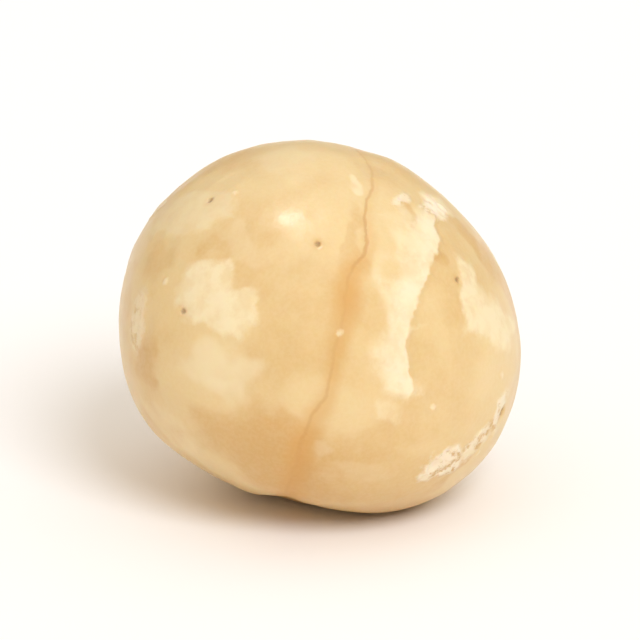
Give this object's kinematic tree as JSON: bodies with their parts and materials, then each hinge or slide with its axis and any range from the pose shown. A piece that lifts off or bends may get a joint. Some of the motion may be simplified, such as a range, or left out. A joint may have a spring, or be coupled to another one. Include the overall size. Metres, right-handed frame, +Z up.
{
  "type": "shelled macadamia kernel",
  "caption": "Whole shelled macadamia nut kernel: a plump, slightly lopsided waxy cream ball with a shallow seam groove, resting on a small flat spot.",
  "frame": {"origin": "on the plane of the flat spot that the kernel rests on, under the middle of its bounding box", "axes": "+Z up out of the resting surface; -Y towards the front, where the seam groove runs down the middle; +X to the right, along the longest side"},
  "size_m": [0.0206, 0.0202, 0.0186],
  "materials": {
    "kernel": "satin"
  },
  "bodies": {
    "root": {"kernel": "kernel"}
  },
  "joints": []
}
